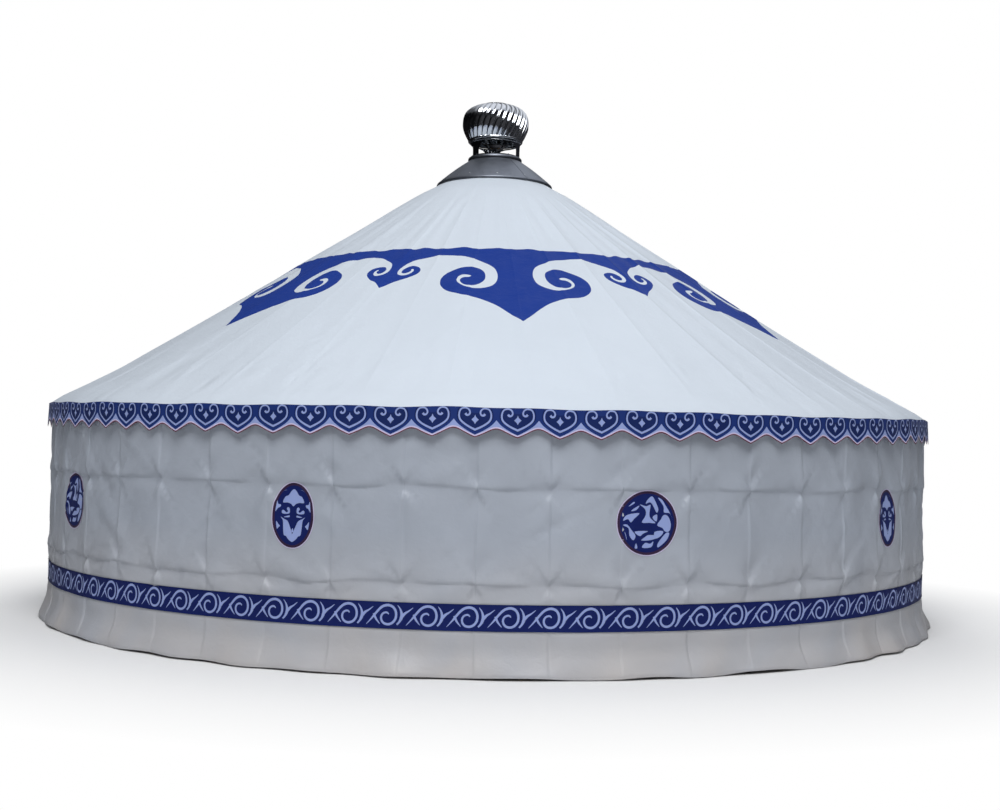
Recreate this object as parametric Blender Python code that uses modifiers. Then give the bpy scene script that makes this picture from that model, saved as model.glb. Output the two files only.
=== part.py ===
"""Round yurt: lattice walls, roof poles and crown, a stretched cover with a
scalloped valance, and a wind-driven ventilator on top.

Blender 4.5 script, in metres, +Z up. The origin is the centre of the floor
circle at ground level. Azimuth 0 faces -Y and grows towards +X.
"""

import math

import bmesh
import bpy
from mathutils import Matrix, Vector

# --- Driving dimensions -----------------------------------------------------
BAYS = 7                      # lattice sections round the wall
POLES_PER_BAY = 6
POLES = BAYS * POLES_PER_BAY
BAY_ANGLE = 360.0 / BAYS
POLE_ANGLE = 360.0 / POLES
FIRST_POLE = 4.3              # azimuth of the pole nearest the front
FIRST_BAY = FIRST_POLE + POLE_ANGLE / 2
BAY_STEPS = 12                # straight facets in a curved bay

WALL_R = 4.0                  # outer face of the wall cover
COVER_T = 0.012               # cover cloth with its felt liner
WALL_TOP = 1.755
HEM_R = 4.09                  # where the skirt lies on the ground
EAVE_R = 4.036                # outer face of the roof cover at the eave
EAVE_Z = 1.79
ROOF_RISE = 0.6457            # height gained for each metre inwards
COVER_TOP_R = 0.48            # the roof cover ends under the flashing
EAVE_DROP = 0.09              # turned-down edge of the roof cover

VALANCE_T = 0.003
SCALLOPS = 90
SCALLOP_STEPS = 2
FIRST_TIP = 2.65              # azimuth of one scallop's point
VALANCE_TOP = 1.783
VALANCE_NOTCH = 1.65
VALANCE_TIP = 1.595

BAND_LOW, BAND_HIGH = 0.323, 0.489
BAND_T = 0.003

LATTICE_R = 3.965             # middle of the lattice's thickness
LATTICE_T = 0.024
LATTICE_COLUMNS = 5           # diamonds along one section
LATTICE_ROWS = 4              # crossings are one row higher
LATTICE_TOP = 1.70
SLAT_W = 0.038

RAIL_LOW, RAIL_HIGH = 1.715, 1.775
RAIL_IN, RAIL_OUT = 3.92, 3.965
POLE_RADIUS = 0.02
POLE_INNER_R = 0.53
POLE_OUTER_R = 3.965
POLE_SIDES = 8

CROWN_IN = 0.455              # clear radius of the smoke hole
CROWN_WEB = 0.012
CROWN_LIP_R = 0.575
CROWN_STEPS = 42

FLASHING_T = 0.004
FLASHING_TOP_R, FLASHING_TOP_Z = 0.25, 4.308
FLASHING_LOW_R, FLASHING_LOW_Z = 0.56, 4.062

NECK_R = 0.242
NECK_T = 0.004
NECK_LOW, NECK_HIGH = 4.336, 4.487
NECK_LEGS = 3
FIRST_LEG = 68.0              # azimuth of one leg of the neck
LEG_ANGLE = 23.0
ROTOR_GAP = 0.008             # between the turning head and the neck

ROTOR_R = 0.318               # widest, at ROTOR_MID
ROTOR_LOW_R = 0.262
ROTOR_LOW = NECK_HIGH + ROTOR_GAP + 0.02
ROTOR_MID = 4.665
ROTOR_CROWN = 4.862           # top of the vanes
ROTOR_CAP_R = 0.12
ROTOR_TOP = 4.872
VANES = 32
VANE_DEPTH = 0.016            # from the crest of a vane to its fold
VANE_LEAN = 24.0              # how far a vane turns as it rises
SHAFT_R = 0.008
SLEEVE_R, SLEEVE_BORE = 0.021, 0.013
SPOKE_Z = 4.58
CUP_R, CUP_LOW = 0.095, 4.428  # bearing cup under the rotor

GAP = 0.0003                  # between pieces that touch
ROUND_STEPS = 36


# --- Scene and materials ----------------------------------------------------
def clear_scene():
    for obj in list(bpy.data.objects):
        bpy.data.objects.remove(obj, do_unlink=True)


def new_collection(name):
    collection = bpy.data.collections.new(name)
    bpy.context.scene.collection.children.link(collection)
    return collection


def new_material(name, colour, roughness, metallic=0.0):
    material = bpy.data.materials.new(name)
    material.use_nodes = True
    shader = material.node_tree.nodes["Principled BSDF"]
    shader.inputs["Base Color"].default_value = (*colour, 1.0)
    shader.inputs["Roughness"].default_value = roughness
    shader.inputs["Metallic"].default_value = metallic
    material.diffuse_color = (*colour, 1.0)
    return material


def place(name, mesh, collection, material=None, azimuth=0.0):
    """One object in a collection, turned about the yurt's axis."""
    obj = bpy.data.objects.new(name, mesh)
    collection.objects.link(obj)
    obj.rotation_euler.z = math.radians(azimuth)
    if material and not mesh.materials:
        mesh.materials.append(material)
    return obj


def at(azimuth, radius, z=0.0):
    """A point at an azimuth in degrees, a radius and a height."""
    turn = math.radians(azimuth)
    return Vector((radius * math.sin(turn), -radius * math.cos(turn), z))


# --- Shape helpers ----------------------------------------------------------
def spun_sector(name, profile, angle, steps):
    """A closed (radius, z) outline swept through an angle centred on azimuth 0."""
    bm = bmesh.new()
    corners = [bm.verts.new(at(-angle / 2, r, z)) for r, z in profile]
    face = bm.faces.new(corners)
    bmesh.ops.spin(
        bm,
        geom=[face, *face.edges, *face.verts],
        cent=(0, 0, 0),
        axis=(0, 0, 1),
        dvec=(0, 0, 0),
        angle=math.radians(angle),
        steps=steps,
        use_duplicate=False,
    )
    bmesh.ops.recalc_face_normals(bm, faces=bm.faces)
    mesh = bpy.data.meshes.new(name)
    bm.to_mesh(mesh)
    bm.free()
    return mesh


def turned_ring(name, profile, steps, collection, material):
    """A closed (radius, z) outline turned right round by a Screw modifier."""
    bm = bmesh.new()
    corners = [bm.verts.new((r, 0.0, z)) for r, z in profile]
    for first, second in zip(corners, corners[1:] + corners[:1]):
        bm.edges.new((first, second))
    mesh = bpy.data.meshes.new(name)
    bm.to_mesh(mesh)
    bm.free()
    obj = place(name, mesh, collection, material)
    screw = obj.modifiers.new("Turn", "SCREW")
    screw.steps = screw.render_steps = steps
    screw.use_merge_vertices = True
    screw.merge_threshold = 0.00001
    screw.use_smooth_shade = True
    return obj


def cylinder_mesh(name, start, end, radius, sides):
    """A capped cylinder between two points."""
    bm = bmesh.new()
    axis = end - start
    bmesh.ops.create_cone(
        bm,
        cap_ends=True,
        segments=sides,
        radius1=radius,
        radius2=radius,
        depth=axis.length,
    )
    turn = axis.to_track_quat("Z", "Y").to_matrix().to_4x4()
    bm.transform(Matrix.Translation((start + end) / 2) @ turn)
    mesh = bpy.data.meshes.new(name)
    bm.to_mesh(mesh)
    bm.free()
    return mesh


def joined(name, meshes):
    """Several meshes copied into one."""
    bm = bmesh.new()
    for mesh in meshes:
        bm.from_mesh(mesh)
    whole = bpy.data.meshes.new(name)
    bm.to_mesh(whole)
    bm.free()
    return whole


def guide(name, mesh, collection):
    """A helper shape that Booleans use and that isn't part of the yurt."""
    obj = place(name, mesh, collection)
    obj.hide_render = True
    obj.display_type = "WIRE"
    return obj


def boolean(obj, other, operation):
    modifier = obj.modifiers.new(operation.title(), "BOOLEAN")
    modifier.operation = operation
    modifier.solver = "EXACT"
    modifier.object = other


def evaluated_mesh(obj, name):
    """The mesh of an object after its modifiers, in world space."""
    bpy.context.view_layer.update()
    graph = bpy.context.evaluated_depsgraph_get()
    mesh = bpy.data.meshes.new_from_object(obj.evaluated_get(graph))
    mesh.name = name
    mesh.transform(obj.matrix_world)
    return mesh


def roof_z(radius):
    """Height of the roof cover's outer face."""
    return EAVE_Z + ROOF_RISE * (EAVE_R - radius)


def bay_azimuth(bay):
    return FIRST_BAY + bay * BAY_ANGLE


def whole_bay(radius):
    """A bay's angle, less the gap to its neighbours."""
    return BAY_ANGLE - math.degrees(GAP / radius)


# --- Wall -------------------------------------------------------------------
def wall_cover_profile():
    """The hanging cover, with a skirt that turns out onto the ground."""
    outer = [
        (WALL_R, WALL_TOP),
        (WALL_R, 0.24),
        (WALL_R + 0.012, 0.13),
        (WALL_R + 0.035, 0.06),
        (HEM_R - 0.018, COVER_T + 0.006),
        (HEM_R, COVER_T),
    ]
    inner = [
        (HEM_R, 0.0),
        (HEM_R - 0.038, 0.0),
        (WALL_R + 0.018, 0.05),
        (WALL_R, 0.125),
        (WALL_R - COVER_T, 0.24),
        (WALL_R - COVER_T, WALL_TOP),
    ]
    return outer + inner


def make_wall_covers(collection, material):
    mesh = spun_sector(
        "wall_cover", wall_cover_profile(), whole_bay(WALL_R), BAY_STEPS
    )
    for bay in range(BAYS):
        name = f"wall_cover_{bay + 1}"
        place(name, mesh, collection, material, bay_azimuth(bay))


def lattice_outlines():
    """Outlines of one flat lattice section: its zigzag rim, then its diamonds.

    Crossings on even levels stand half a pitch from the middle, and those on
    odd levels stand on it.
    """
    long = math.radians(BAY_ANGLE) * LATTICE_R
    pitch = long / LATTICE_COLUMNS
    row = LATTICE_TOP / LATTICE_ROWS
    slope = math.atan2(row, pitch / 2)
    reach_x = pitch / 2 - SLAT_W / 2 / math.sin(slope)
    reach_z = row - SLAT_W / 2 / math.cos(slope)
    side = long / 2 - 2 * GAP
    side_z = row - reach_z + reach_z * (long / 2 - side) / reach_x

    def centres(level):
        """Middles of the diamonds on a level that lie within the section."""
        count = LATTICE_COLUMNS if level % 2 == 0 else LATTICE_COLUMNS - 1
        return [(i - (count - 1) / 2) * pitch for i in range(count)]

    low = []
    for x in centres(0):
        low += [(x - reach_x, 0.0), (x, reach_z), (x + reach_x, 0.0)]
    high = [(x, LATTICE_TOP - z) for x, z in low]
    right = [(side, 0.0)]
    for level in range(1, LATTICE_ROWS, 2):
        middle = level * row
        right += [
            (side, middle - row + side_z),
            (long / 2 - reach_x, middle),
            (side, middle + row - side_z),
        ]
    right.append((side, LATTICE_TOP))
    left = [(-x, z) for x, z in right]
    rim = low + right + high[::-1] + left[::-1]
    diamonds = []
    for level in range(1, LATTICE_ROWS):
        for x in centres(level):
            z = level * row
            diamonds.append(
                [(x - reach_x, z), (x, z - reach_z), (x + reach_x, z), (x, z + reach_z)]
            )
    return [rim, *diamonds], pitch


def flat_plate(name, outlines, thickness, collection):
    """A 2D curve, filled and extruded, as a mesh standing in the XZ plane."""
    curve = bpy.data.curves.new(name, "CURVE")
    curve.dimensions = "2D"
    curve.fill_mode = "BOTH"
    curve.extrude = thickness / 2
    for outline in outlines:
        spline = curve.splines.new("POLY")
        spline.points.add(len(outline) - 1)
        for point, (x, z) in zip(spline.points, outline):
            point.co = (x, z, 0.0, 1.0)
        spline.use_cyclic_u = True
    obj = bpy.data.objects.new(name, curve)
    collection.objects.link(obj)
    obj.rotation_euler.x = math.pi / 2
    mesh = evaluated_mesh(obj, name)
    bpy.data.objects.remove(obj)
    return mesh


def bent_round(mesh, radius, cuts):
    """Bends a flat plate round the axis, after cutting it where it may fold."""
    bm = bmesh.new()
    bm.from_mesh(mesh)
    bmesh.ops.remove_doubles(bm, verts=bm.verts, dist=0.00001)
    for x in cuts:
        bmesh.ops.bisect_plane(
            bm,
            geom=[*bm.verts, *bm.edges, *bm.faces],
            plane_co=(x, 0, 0),
            plane_no=(1, 0, 0),
            dist=0.00001,
        )
    for vert in bm.verts:
        x, depth, z = vert.co
        vert.co = at(math.degrees(x / radius), radius - depth, z)
    bmesh.ops.recalc_face_normals(bm, faces=bm.faces)
    bm.to_mesh(mesh)
    bm.free()


def make_lattice_walls(collection, guides, material):
    outlines, pitch = lattice_outlines()
    mesh = flat_plate("lattice_wall", outlines, LATTICE_T, guides)
    halves = LATTICE_COLUMNS - 1
    cuts = [i * pitch / 2 for i in range(-halves, halves + 1)]
    bent_round(mesh, LATTICE_R, cuts)
    for bay in range(BAYS):
        name = f"lattice_wall_{bay + 1}"
        place(name, mesh, collection, material, bay_azimuth(bay))


def make_girth_band(collection, material):
    inner = WALL_R + GAP
    profile = [
        (inner, BAND_LOW),
        (inner, BAND_HIGH),
        (inner + BAND_T, BAND_HIGH),
        (inner + BAND_T, BAND_LOW),
    ]
    band = turned_ring(
        "girth_band", profile, BAYS * BAY_STEPS, collection, material
    )
    band.rotation_euler.z = math.radians(FIRST_BAY + BAY_ANGLE / 2)


# --- Roof -------------------------------------------------------------------
def roof_cover_profile():
    """The sloping cloth and its turned-down edge at the eave."""
    drop = COVER_T / math.cos(math.atan(ROOF_RISE))
    bend = 0.02
    low = EAVE_Z - EAVE_DROP
    return [
        (COVER_TOP_R, roof_z(COVER_TOP_R)),
        (EAVE_R - bend, roof_z(EAVE_R - bend)),
        (EAVE_R - bend / 4, EAVE_Z - bend / 4),
        (EAVE_R, EAVE_Z - bend),
        (EAVE_R, low),
        (EAVE_R - COVER_T, low),
        (EAVE_R - COVER_T, EAVE_Z - bend - drop / 2),
        (EAVE_R - bend - COVER_T, roof_z(EAVE_R - bend - COVER_T) - drop),
        (COVER_TOP_R, roof_z(COVER_TOP_R) - drop),
    ]


def make_roof_gores(collection, material):
    mesh = spun_sector(
        "roof_gore", roof_cover_profile(), whole_bay(1.0), BAY_STEPS
    )
    for bay in range(BAYS):
        name = f"roof_gore_{bay + 1}"
        place(name, mesh, collection, material, bay_azimuth(bay))


def pole_height(radius):
    """Height of a roof pole's axis, just under the cover."""
    below = (COVER_T + POLE_RADIUS + 0.01) / math.cos(math.atan(ROOF_RISE))
    return roof_z(radius) - below


def make_pole_bays(collection, guides, material):
    """Six roof poles and the curved eave rail that carries them."""
    rail_profile = [
        (RAIL_IN, RAIL_LOW),
        (RAIL_OUT, RAIL_LOW),
        (RAIL_OUT, RAIL_HIGH),
        (RAIL_IN, RAIL_HIGH),
    ]
    rail = spun_sector("eave_rail", rail_profile, whole_bay(RAIL_IN), BAY_STEPS)
    poles = []
    for i in range(POLES_PER_BAY):
        azimuth = (i - (POLES_PER_BAY - 1) / 2) * POLE_ANGLE
        low = at(azimuth, POLE_OUTER_R, pole_height(POLE_OUTER_R))
        high = at(azimuth, POLE_INNER_R, pole_height(POLE_INNER_R))
        poles.append(cylinder_mesh("pole", low, high, POLE_RADIUS, POLE_SIDES))
    pole_guide = guide("pole_guide", joined("poles", poles), guides)
    rail_guide = guide("rail_guide", rail, guides)
    boolean(rail_guide, pole_guide, "UNION")
    mesh = evaluated_mesh(rail_guide, "roof_poles")
    for bay in range(BAYS):
        name = f"roof_poles_{bay + 1}"
        place(name, mesh, collection, material, bay_azimuth(bay))


def make_crown_ring(collection, material):
    """An outward-facing channel that takes the upper ends of the poles."""
    web_out = CROWN_IN + CROWN_WEB
    spread = (POLE_RADIUS + 0.003) / math.cos(math.atan(ROOF_RISE))
    thick = 0.006

    def lip(radius, side):
        return pole_height(radius) + side * spread

    profile = [
        (CROWN_IN, lip(CROWN_IN, 1) + thick),
        (CROWN_LIP_R, lip(CROWN_LIP_R, 1) + thick),
        (CROWN_LIP_R, lip(CROWN_LIP_R, 1)),
        (web_out, lip(web_out, 1)),
        (web_out, lip(web_out, -1)),
        (CROWN_LIP_R, lip(CROWN_LIP_R, -1)),
        (CROWN_LIP_R, lip(CROWN_LIP_R, -1) - thick),
        (CROWN_IN, lip(CROWN_IN, -1) - thick),
    ]
    turned_ring("crown_ring", profile, CROWN_STEPS, collection, material)


def make_valance(collection, material):
    """A hanging band whose lower edge is a row of pointed scallops."""
    bm = bmesh.new()
    columns = SCALLOPS * SCALLOP_STEPS
    radius = (EAVE_R + GAP) / math.cos(math.pi / columns)
    bmesh.ops.create_circle(bm, segments=columns, radius=radius)
    for vert in bm.verts:
        vert.co.z = VALANCE_TOP
    hung = bmesh.ops.extrude_edge_only(bm, edges=bm.edges[:])
    for vert in [v for v in hung["geom"] if isinstance(v, bmesh.types.BMVert)]:
        azimuth = math.degrees(math.atan2(vert.co.x, -vert.co.y))
        drop = 0.5 + 0.5 * math.cos(math.radians(azimuth * SCALLOPS))
        vert.co.z = VALANCE_NOTCH + (VALANCE_TIP - VALANCE_NOTCH) * drop
    bmesh.ops.recalc_face_normals(bm, faces=bm.faces)
    mesh = bpy.data.meshes.new("eave_valance")
    bm.to_mesh(mesh)
    bm.free()
    obj = place("eave_valance", mesh, collection, material, FIRST_TIP)
    shell = obj.modifiers.new("Cloth", "SOLIDIFY")
    shell.thickness = VALANCE_T
    shell.offset = 1.0


# --- Ventilator -------------------------------------------------------------
def make_flashing(collection, material):
    """A sheet-metal hat between the roof cover and the ventilator's neck."""
    top, low = FLASHING_TOP_Z, FLASHING_LOW_Z
    middle_r = (FLASHING_TOP_R + FLASHING_LOW_R) / 2
    middle_z = (top + low) / 2 + 0.01
    outer = [
        (FLASHING_TOP_R - 0.025, top),
        (FLASHING_TOP_R, top),
        (middle_r, middle_z),
        (FLASHING_LOW_R, low),
        (FLASHING_LOW_R + 0.004, low - 0.018),
    ]
    inner = [
        (FLASHING_LOW_R, low - 0.018),
        (FLASHING_LOW_R - 0.005, low - FLASHING_T),
        (middle_r - 0.003, middle_z - FLASHING_T),
        (FLASHING_TOP_R - 0.002, top - FLASHING_T),
        (FLASHING_TOP_R - 0.025, top - FLASHING_T),
    ]
    turned_ring(
        "vent_flashing", outer + inner, ROUND_STEPS, collection, material
    )


def make_base_flange(collection, material):
    low, high = FLASHING_TOP_Z + GAP, NECK_LOW - GAP
    profile = [
        (NECK_R - 0.014, low),
        (NECK_R - 0.014, high),
        (NECK_R + 0.014, high),
        (NECK_R + 0.02, (low + high) / 2),
        (NECK_R + 0.014, low),
    ]
    turned_ring("vent_base_flange", profile, ROUND_STEPS, collection, material)


def window_outline(width, low, high, corner):
    """An opening with a flat sill and quarter-round upper corners."""
    points = [(width / 2, low)]
    for side in (1, -1):
        arc = [side * math.radians(a) for a in (0, 30, 60, 90)]
        quarter = [
            (
                side * (width / 2 - corner) + corner * math.cos(a) * side,
                high - corner + corner * abs(math.sin(a)),
            )
            for a in arc
        ]
        points += quarter if side == 1 else quarter[::-1]
    return points + [(-width / 2, low)]


def make_neck(collection, guides, material):
    """A short sheet cylinder cut away to three broad legs."""
    profile = [
        (NECK_R - NECK_T, NECK_LOW),
        (NECK_R - NECK_T, NECK_HIGH),
        (NECK_R, NECK_HIGH),
        (NECK_R, NECK_LOW),
    ]
    neck = turned_ring("vent_neck", profile, ROUND_STEPS, collection, material)
    open_angle = 360.0 / NECK_LEGS - LEG_ANGLE
    width = 2 * NECK_R * math.sin(math.radians(open_angle / 2))
    outline = window_outline(width, NECK_LOW + 0.012, NECK_HIGH - 0.012, 0.07)
    plate = flat_plate("neck_window", [outline], NECK_R, guides)
    for leg in range(NECK_LEGS):
        azimuth = FIRST_LEG + (leg + 0.5) * 360.0 / NECK_LEGS
        mesh = plate.copy()
        bm = bmesh.new()
        bm.from_mesh(mesh)
        bmesh.ops.remove_doubles(bm, verts=bm.verts, dist=0.00001)
        bmesh.ops.recalc_face_normals(bm, faces=bm.faces)
        bm.transform(Matrix.Translation((0, -NECK_R, 0)))
        bm.to_mesh(mesh)
        bm.free()
        cutter = guide(f"neck_window_{leg + 1}", mesh, guides)
        cutter.rotation_euler.z = math.radians(azimuth)
        boolean(neck, cutter, "DIFFERENCE")


def spoked_hub(name, hub, spokes, collection, guides, material):
    """A turned hub with spokes fused to it."""
    boss = turned_ring(name, hub, 24, collection, material)
    boolean(boss, guide(f"{name}_spokes", joined(name, spokes), guides), "UNION")
    return boss


def make_spider(collection, guides, material):
    """The fixed shaft that the rotor turns on, held by three arms."""
    arm_z = NECK_HIGH - 0.02
    top = ROTOR_CROWN - 0.04
    hub = [
        (0.0001, CUP_LOW),
        (0.0001, top),
        (SHAFT_R, top),
        (SHAFT_R, arm_z + 0.012),
        (CUP_R, arm_z + 0.008),
        (CUP_R, arm_z - 0.01),
        (CUP_R * 0.8, CUP_LOW + 0.01),
        (CUP_R * 0.45, CUP_LOW),
    ]
    arms = []
    for leg in range(NECK_LEGS):
        azimuth = FIRST_LEG + leg * 360.0 / NECK_LEGS
        start = at(azimuth, 0.012, arm_z)
        end = at(azimuth, NECK_R - NECK_T - 0.002, arm_z)
        arms.append(cylinder_mesh("arm", start, end, 0.007, 8))
    spoked_hub("vent_spider", hub, arms, collection, guides, material)


def rotor_radius(z):
    """Radius of the head over the crests of its vanes, at a height."""
    if z < ROTOR_MID:
        share = (ROTOR_MID - z) / (ROTOR_MID - ROTOR_LOW)
        spread = math.cos(share * math.pi / 2)
        return ROTOR_LOW_R + (ROTOR_R - ROTOR_LOW_R) * spread
    share = (z - ROTOR_MID) / (ROTOR_CROWN - ROTOR_MID)
    full = 2.3
    return max(ROTOR_R * (1 - share**full) ** (1 / full), ROTOR_CAP_R)


def rotor_outline():
    """(radius, z) down the head, from under its cap to its lower ring."""
    heights = [ROTOR_CROWN]
    for share in (0.93, 0.72, 0.38, 0.0):
        heights.append(ROTOR_MID + (ROTOR_CROWN - ROTOR_MID) * share)
    for share in (0.55, 1.0):
        heights.append(ROTOR_MID + (ROTOR_LOW - ROTOR_MID) * share)
    return [(rotor_radius(z), z) for z in heights]


def make_rotor_vanes(collection, material):
    """A pleated shell: each vane has a crest and a fold, and leans as it rises."""
    lean = math.radians(VANE_LEAN)
    outline = rotor_outline()
    columns = 2 * VANES
    bm = bmesh.new()
    rings = []
    for row, (radius, z) in enumerate(outline):
        ring = []
        deep = VANE_DEPTH * min(1.0, radius / ROTOR_R)
        for column in range(columns):
            turn = 2 * math.pi * column / columns
            turn += lean * (1 - row / (len(outline) - 1))
            r = radius - (deep if column % 2 else 0.0)
            ring.append(bm.verts.new((r * math.sin(turn), -r * math.cos(turn), z)))
        rings.append(ring)
    for upper, lower in zip(rings, rings[1:]):
        for i in range(columns):
            j = (i + 1) % columns
            bm.faces.new((upper[i], lower[i], lower[j], upper[j]))
    bmesh.ops.recalc_face_normals(bm, faces=bm.faces)
    mesh = bpy.data.meshes.new("rotor_vanes")
    bm.to_mesh(mesh)
    bm.free()
    obj = place("rotor_vanes", mesh, collection, material)
    shell = obj.modifiers.new("Sheet", "SOLIDIFY")
    shell.thickness = 0.003
    shell.offset = -1.0
    return obj


def make_rotor_cap(collection, material):
    """The pressed disc that closes the top of the head."""
    radius = ROTOR_CAP_R + 0.012
    under = ROTOR_CROWN + GAP
    profile = [
        (0.0001, ROTOR_TOP - 0.005),
        (0.0001, ROTOR_TOP),
        (radius * 0.55, ROTOR_TOP - 0.003),
        (radius, under + 0.001),
        (radius, under),
        (radius * 0.55, ROTOR_TOP - 0.007),
    ]
    return turned_ring("rotor_cap", profile, ROUND_STEPS, collection, material)


def make_rotor_ring(collection, material):
    """The rolled ring under the vanes."""
    radius = ROTOR_LOW_R - 0.006
    low, high = NECK_HIGH + ROTOR_GAP, ROTOR_LOW - GAP
    sides = 6
    profile = []
    for step in range(sides):
        turn = -2 * math.pi * (step + 0.5) / sides
        profile.append(
            (
                radius + 0.012 * math.cos(turn),
                (low + high) / 2 + (high - low) / 2 * math.sin(turn),
            )
        )
    return turned_ring("rotor_ring", profile, ROUND_STEPS, collection, material)


def make_rotor_hub(collection, guides, material):
    """The bearing sleeve on the shaft, with spokes out to the vanes."""
    low = SPOKE_Z - 0.03
    high = ROTOR_CROWN - 0.012
    hub = [
        (SLEEVE_BORE, low),
        (SLEEVE_BORE, high - 0.016),
        (0.0001, high - 0.016),
        (0.0001, high),
        (SLEEVE_R, high),
        (SLEEVE_R, low),
    ]
    spokes = []
    for i in range(4):
        azimuth = 45 + 90 * i
        start = at(azimuth, (SLEEVE_R + SLEEVE_BORE) / 2, SPOKE_Z)
        reach = rotor_radius(SPOKE_Z) - VANE_DEPTH - 0.008
        end = at(azimuth, reach, SPOKE_Z)
        spokes.append(cylinder_mesh("spoke", start, end, 0.005, 6))
    return spoked_hub("rotor_hub", hub, spokes, collection, guides, material)


def make_rotor(collection, guides, metal):
    """The head that turns in the wind, under one empty on its axis."""
    axis = bpy.data.objects.new("rotor_axis", None)
    collection.objects.link(axis)
    for piece in (
        make_rotor_vanes(collection, metal),
        make_rotor_cap(collection, metal),
        make_rotor_ring(collection, metal),
        make_rotor_hub(collection, guides, metal),
    ):
        piece.parent = axis


def main():
    clear_scene()
    yurt = new_collection("yurt")
    guides = new_collection("guides")
    canvas = new_material("wall_canvas", (0.56, 0.59, 0.62), 0.55)
    roof = new_material("roof_canvas", (0.80, 0.84, 0.90), 0.5)
    print_blue = new_material("blue_print", (0.04, 0.07, 0.30), 0.5)
    wood = new_material("pole_wood", (0.55, 0.36, 0.20), 0.6)
    steel = new_material("bright_steel", (0.72, 0.73, 0.75), 0.12, 1.0)
    dull = new_material("flashing_metal", (0.33, 0.35, 0.40), 0.35, 1.0)
    make_wall_covers(yurt, canvas)
    make_lattice_walls(yurt, guides, wood)
    make_girth_band(yurt, print_blue)
    make_roof_gores(yurt, roof)
    make_pole_bays(yurt, guides, wood)
    make_crown_ring(yurt, wood)
    make_valance(yurt, print_blue)
    make_flashing(yurt, dull)
    make_base_flange(yurt, steel)
    make_neck(yurt, guides, steel)
    make_spider(yurt, guides, steel)
    make_rotor(yurt, guides, steel)


main()
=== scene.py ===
"""The look of a round yurt: its creased cloth wall, printed roof and trim,
and the bright steel ventilator that turns on top.

Cloth is laid out flat, as (distance along, height) in metres, printed with
flush inlaid shapes, and then wrapped round the wall or the roof by one
function for each, so that every print follows the folds under it.
Azimuth 0 faces -Y and grows towards +X.
"""

import math
import random

import bmesh
import bpy
import numpy as np
from mathutils import Matrix, Vector
from mathutils.geometry import delaunay_2d_cdt


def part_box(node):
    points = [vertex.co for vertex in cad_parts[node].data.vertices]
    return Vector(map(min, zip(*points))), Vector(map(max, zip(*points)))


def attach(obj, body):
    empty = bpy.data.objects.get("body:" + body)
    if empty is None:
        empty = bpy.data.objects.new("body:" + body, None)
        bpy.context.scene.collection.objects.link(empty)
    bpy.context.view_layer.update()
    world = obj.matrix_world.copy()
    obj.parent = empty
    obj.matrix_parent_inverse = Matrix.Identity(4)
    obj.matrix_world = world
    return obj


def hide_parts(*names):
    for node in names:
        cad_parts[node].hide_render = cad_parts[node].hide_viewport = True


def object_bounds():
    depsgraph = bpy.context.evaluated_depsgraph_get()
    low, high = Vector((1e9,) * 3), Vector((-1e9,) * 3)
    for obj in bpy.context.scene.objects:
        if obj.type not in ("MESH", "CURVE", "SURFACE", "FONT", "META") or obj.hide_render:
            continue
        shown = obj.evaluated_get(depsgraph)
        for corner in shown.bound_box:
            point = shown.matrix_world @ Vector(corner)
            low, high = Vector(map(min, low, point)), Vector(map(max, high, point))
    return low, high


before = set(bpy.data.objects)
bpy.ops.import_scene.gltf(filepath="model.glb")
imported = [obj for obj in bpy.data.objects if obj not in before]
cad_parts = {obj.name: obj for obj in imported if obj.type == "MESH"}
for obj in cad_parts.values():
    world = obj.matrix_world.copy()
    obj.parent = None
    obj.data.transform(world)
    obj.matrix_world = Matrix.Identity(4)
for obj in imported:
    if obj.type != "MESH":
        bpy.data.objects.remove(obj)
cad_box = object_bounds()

# --- Sizes, from the frame where it has them --------------------------------
TENT = "yurt_frame"
HEAD = "vent_rotor"

STRIP_T = 0.003                       # thickness of the CAD trim strips
girth_low, girth_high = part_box("girth_band")
valance_low, valance_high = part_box("eave_valance")
gore_low, gore_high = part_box("roof_gore_1")
WALL_R = girth_high.x - STRIP_T
EAVE_R = valance_high.x - STRIP_T
WALL_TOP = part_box("wall_cover_1")[1].z
HEM_R = cad_box[1][0]
BAND_LOW, BAND_HIGH = girth_low.z, girth_high.z
VALANCE_TIP, VALANCE_TOP = valance_low.z, valance_high.z
VALANCE_NOTCH = VALANCE_TIP + 0.055
EAVE_Z = VALANCE_TOP + 0.007
EAVE_DROP = EAVE_Z - gore_low.z
COVER_TOP_R = 0.50
ROOF_RISE = (gore_high.z - EAVE_Z) / (EAVE_R - 0.48)

POLES = 42
POLE_ANGLE = 360 / POLES
FIRST_POLE = 4.3
MOTIFS = 7
FIRST_MOTIF = 4.55
MOTIF_ANGLE = 360 / MOTIFS
SCALLOPS = 90
FIRST_SCALLOP = 2.65
SCROLLS = 93
FIRST_SCROLL = -1.55
CREASE_ANGLE = 7.04
FIRST_CREASE = -1.0
CREASE_HEIGHTS = (1.25, 0.61)
PRINTS = 5                            # round ones, and as many oval ones between
PRINT_ANGLE = 70.2
FIRST_HORSE, FIRST_OVAL = 15.65, -19.25
MEDALLION_Z = 1.04
SKIRT_Z = 0.26                        # the skirt starts to turn out here
DROP_SHARE = 1.07                     # the trim hangs this much longer than drawn


# --- Materials --------------------------------------------------------------
def linear(colour):
    """Linear colour from display values of 0 to 255."""
    shares = [c / 255 for c in colour]
    return [s / 12.92 if s < 0.04045 else ((s + 0.055) / 1.055) ** 2.4 for s in shares]


def scaled(colour, share):
    return [min(1.0, c * share) for c in colour]


def feed(tree, socket, value):
    """Links a socket to another one, or gives it a plain value."""
    if isinstance(value, bpy.types.NodeSocket):
        tree.links.new(value, socket)
    else:
        socket.default_value = value


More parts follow.
